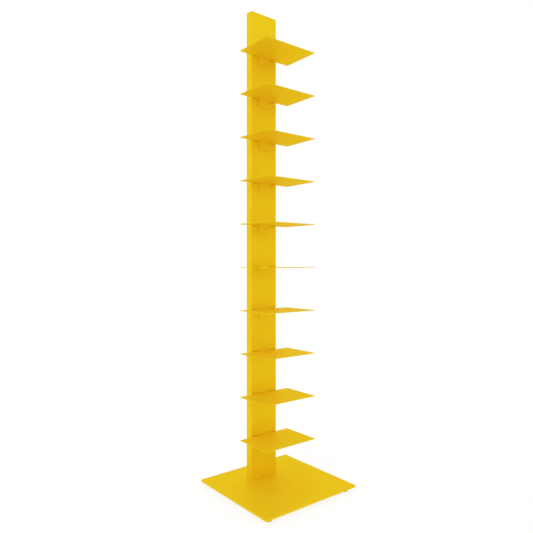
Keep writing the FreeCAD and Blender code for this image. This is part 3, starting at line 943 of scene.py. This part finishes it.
@dataclass
class LevellingGlides:
    """Four nylon pads, each with a threaded stud that turns in it."""

    shop: Workshop
    thread: ThreadForm = ThreadForm()
    disc_radius: float = 6.0 * MILLIMETRE
    disc_thickness: float = 2.0 * MILLIMETRE
    disc_chamfer: float = 0.3 * MILLIMETRE
    neck_radius: float = 3.2 * MILLIMETRE
    neck_height: float = 0.8 * MILLIMETRE
    tip_chamfer: float = 0.8 * MILLIMETRE
    columns: int = 48
    rows_per_pitch: int = 12
    sharp_angle: float = math.radians(28)

    def build(self) -> None:
        """Dress the pads and put a threaded stud in place of each plain one."""
        axis = Box.between(*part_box(Corner.REAR_RIGHT.pad)).middle
        nylon = MouldedNylon(name="moulded_nylon", axis_at=axis).build()
        zinc = ZincPlate(name="stud_zinc", axis_at=axis, mirrored=True).build()
        for corner in Corner:
            self.shop.dress(corner.pad, nylon)
            self.build_stud(corner, zinc)

    def build_stud(self, corner: Corner, zinc: bpy.types.Material) -> None:
        """Make one stud: a disc, a neck, and a shank that is threaded to its tip.

        Args:
            corner: The stud's corner.
            zinc: The stud's finish.
        """
        low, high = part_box(corner.stud)
        centre = axis_point(low, high)
        neck_top = low.z + self.disc_thickness + self.neck_height
        foot = self.foot_surface(centre, low.z, neck_top)
        shank = self.shank_surface(centre, neck_top, high.z)
        piece = foot.joined(shank).to_object(f"threaded_stud_{corner.value}", self.sharp_angle)
        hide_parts(corner.stud)
        self.shop.deliver(piece, zinc, corner.stud, Slot.ZINC)

    def foot_surface(self, centre: np.ndarray, low: float, neck_top: float) -> Surface:
        """Turn the disc and the neck about the stud's axis.

        Each point is the centre plus its radius times (cos t, sin t) plus its height, with t the
        turn. The disc's rim is broken by a small chamfer.

        Args:
            centre: A point on the axis at height 0.
            low: Height of the disc's underside.
            neck_top: Height where the thread starts.

        Returns:
            The surface, closed below and open above.
        """
        rim, edge = self.disc_radius, self.disc_chamfer
        top = low + self.disc_thickness
        radii = np.array([0.0, rim - edge, rim, rim, rim - edge, self.neck_radius, self.neck_radius])
        heights = np.array([low, low, low + edge, top - edge, top, top, neck_top])
        rings = radii[:, None, None] * directions(self.column_turns() * math.tau)
        rings[:, :, Axis.Z.value] = heights[:, None]
        return Surface.ring_stack(rings + centre)

    def column_turns(self) -> np.ndarray:
        """Where the columns of points stand round the axis, in turns."""
        return np.arange(self.columns) / self.columns

    def shank_surface(self, centre: np.ndarray, start: float, tip: float) -> Surface:
        """Wind the thread up the shank, with rows that follow the helix.

        Row i at turn t is at height start + i * step + pitch * (t - 1), held between the start
        and the tip, so each crest lies along one row. The radius there is the thread's, held
        under the tip's chamfer cone and above the neck where the thread runs out. The last
        column joins the first one a pitch higher, and the tip is closed by a flat fan.

        Args:
            centre: A point on the axis at height 0.
            start: Height where the thread starts.
            tip: Height of the tip.

        Returns:
            The surface, open below and closed above.
        """
        pitch, per = self.thread.pitch, self.rows_per_pitch
        rows = per * (math.ceil((tip - start) / pitch) + 2) + 1
        turn = self.column_turns()
        climb = start - pitch + np.arange(rows)[:, None] * pitch / per + pitch * turn
        height = np.clip(climb, start, tip)
        radius = self.thread.radius((height - start) / pitch - turn)
        run_out = np.clip((height - start) / pitch, 0.0, 1.0)
        radius = self.neck_radius + (radius - self.neck_radius) * run_out
        cone = self.thread.outer_radius - self.tip_chamfer + (tip - height)
        points = np.minimum(radius, cone)[:, :, None] * directions(turn * math.tau) + centre
        points[:, :, Axis.Z.value] = height
        row, column = np.meshgrid(np.arange(rows - per - 1), np.arange(self.columns), indexing="ij")
        wraps = column == self.columns - 1
        here = row * self.columns + column
        beside = np.where(wraps, (row + per) * self.columns, here + 1)
        quads = np.stack([here, beside, beside + self.columns, here + self.columns], axis=-1)
        shank = Surface(points.reshape(-1, 3), quads.reshape(-1, 4))
        last = np.stack([points[-1], np.broadcast_to(centre + [0.0, 0.0, tip], points[-1].shape)])
        return shank.joined(Surface.ring_stack(last))


# ---- studio ----

@dataclass(frozen=True)
class SoftBox:
    """A square soft lamp, by where it stands, where it points, its side and its watts."""

    name: str
    stand: Point
    aim: Point
    side: float
    watts: float

    def build(self) -> None:
        """Add the lamp to the scene."""
        lamp = bpy.data.lights.new(self.name, "AREA")
        lamp.shape, lamp.size, lamp.energy = "SQUARE", self.side, self.watts
        holder = show(self.name, lamp)
        holder.location = self.stand
        pointing = Vector(self.aim) - Vector(self.stand)
        holder.rotation_euler = pointing.to_track_quat("-Z", "Y").to_euler()
        LOG.info("%s stands at %s with %.1f W", self.name, self.stand, self.watts)


@dataclass
class Studio:
    """Camera, key lamp, surroundings and floor."""

    eye: Point = (-1.0225, -1.3094, 0.7074)
    heading: tuple[float, float] = (0.6436, 0.7653)
    lens: float = 35.37
    sensor: float = 36.0
    shift: tuple[float, float] = (-0.0559, -0.0030)
    clip: Band = (0.05, 200.0)
    floor_radius: float = 40.0
    floor_points: int = 64
    floor_drop: float = 0.3 * MILLIMETRE
    floor_tone: Colour = (0.99, 0.99, 0.99, 1.0)
    shadow_share: float = 0.24
    surround: float = 0.743
    key: SoftBox = SoftBox("key_lamp", (-2.4, -1.2, 2.2), (0.0, 0.0, 0.75), 0.9, 4.5)

    def build(self) -> None:
        """Set up the whole studio."""
        self.place_camera()
        self.key.build()
        self.build_surroundings()
        self.lay_floor()
        bpy.context.scene.view_settings.view_transform = "Standard"

    def place_camera(self) -> None:
        """Stand a level camera at the eye, looking along the heading."""
        lens = bpy.data.cameras.new("camera")
        lens.lens, lens.sensor_width = self.lens, self.sensor
        lens.shift_x, lens.shift_y = self.shift
        lens.clip_start, lens.clip_end = self.clip
        camera = show("camera", lens)
        camera.location = self.eye
        camera.rotation_euler = (math.pi / 2, 0.0, -math.atan2(*self.heading))
        bpy.context.scene.camera = camera
        LOG.info("camera stands at %s", self.eye)

    @staticmethod
    def seen(graph: Graph) -> Socket:
        """1 for a ray that shows the surroundings: from the camera, a reflection or a glass.

        Args:
            graph: The graph of the floor or the world.

        Returns:
            The number's socket.
        """
        path = graph.add("ShaderNodeLightPath").outputs
        mirrored = graph.math("MAXIMUM", path["Is Glossy Ray"], path["Is Transmission Ray"])
        return graph.math("MAXIMUM", path["Is Camera Ray"], mirrored)

    def build_surroundings(self) -> None:
        """White surroundings, which light the object a little less than they look."""
        world = bpy.data.worlds.new("surroundings")
        bpy.context.scene.world = world
        graph = Graph.fresh(world)
        soft = graph.add("ShaderNodeBackground", {"Color": WHITE, "Strength": self.surround})
        plain = graph.add("ShaderNodeBackground", {"Color": WHITE, "Strength": 1.0})
        both = graph.blend(self.seen(graph), soft, plain)
        graph.add("ShaderNodeOutputWorld", {"Surface": both.outputs[0]})

    def lay_floor(self) -> None:
        """A round pale floor just under the soles, which fades into the surroundings."""
        angles = np.linspace(0.0, math.tau, self.floor_points, endpoint=False)
        rim = self.floor_radius * directions(angles)
        rim[:, Axis.Z.value] = -self.floor_drop
        mesh = bpy.data.meshes.new("floor")
        mesh.from_pydata(rim.tolist(), [], [list(range(self.floor_points))])
        floor = show("floor", mesh)
        mesh.materials.append(self.floor_material())

    def floor_material(self) -> bpy.types.Material:
        """The floor's finish: nearly white to the eye, plain pale diffuse to the light.

        Seen from below, it is clear.

        Returns:
            The new material.
        """
        material = bpy.data.materials.new("pale_floor")
        graph = Graph.fresh(material)
        share = self.shadow_share
        pale = graph.add("ShaderNodeBsdfDiffuse", {"Color": self.floor_tone})
        shadow = graph.add("ShaderNodeBsdfDiffuse", {"Color": (share, share, share, 1.0)})
        glow = graph.add("ShaderNodeEmission", {
            "Color": WHITE, "Strength": 1.0 - share * self.surround})
        shown = graph.add("ShaderNodeAddShader", {0: shadow.outputs[0], 1: glow.outputs[0]})
        front = graph.blend(self.seen(graph), pale, shown)
        behind = graph.add("ShaderNodeNewGeometry").outputs["Backfacing"]
        both = graph.blend(behind, front, graph.add("ShaderNodeBsdfTransparent"))
        graph.add("ShaderNodeOutputMaterial", {"Surface": both.outputs[0]})
        return material


def main() -> None:
    """Build the bookshelf's looks and the studio."""
    logging.basicConfig(level=logging.INFO, format="%(name)s: %(message)s")
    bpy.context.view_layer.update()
    shop = Workshop(frame["nodes"])
    Base(shop).build()
    Column(shop).build()
    ShelfStack(shop).build()
    LevellingGlides(shop).build()
    Studio().build()
    LOG.info("%d pieces", len(shop.made))


if __name__ == "__main__":
    main()
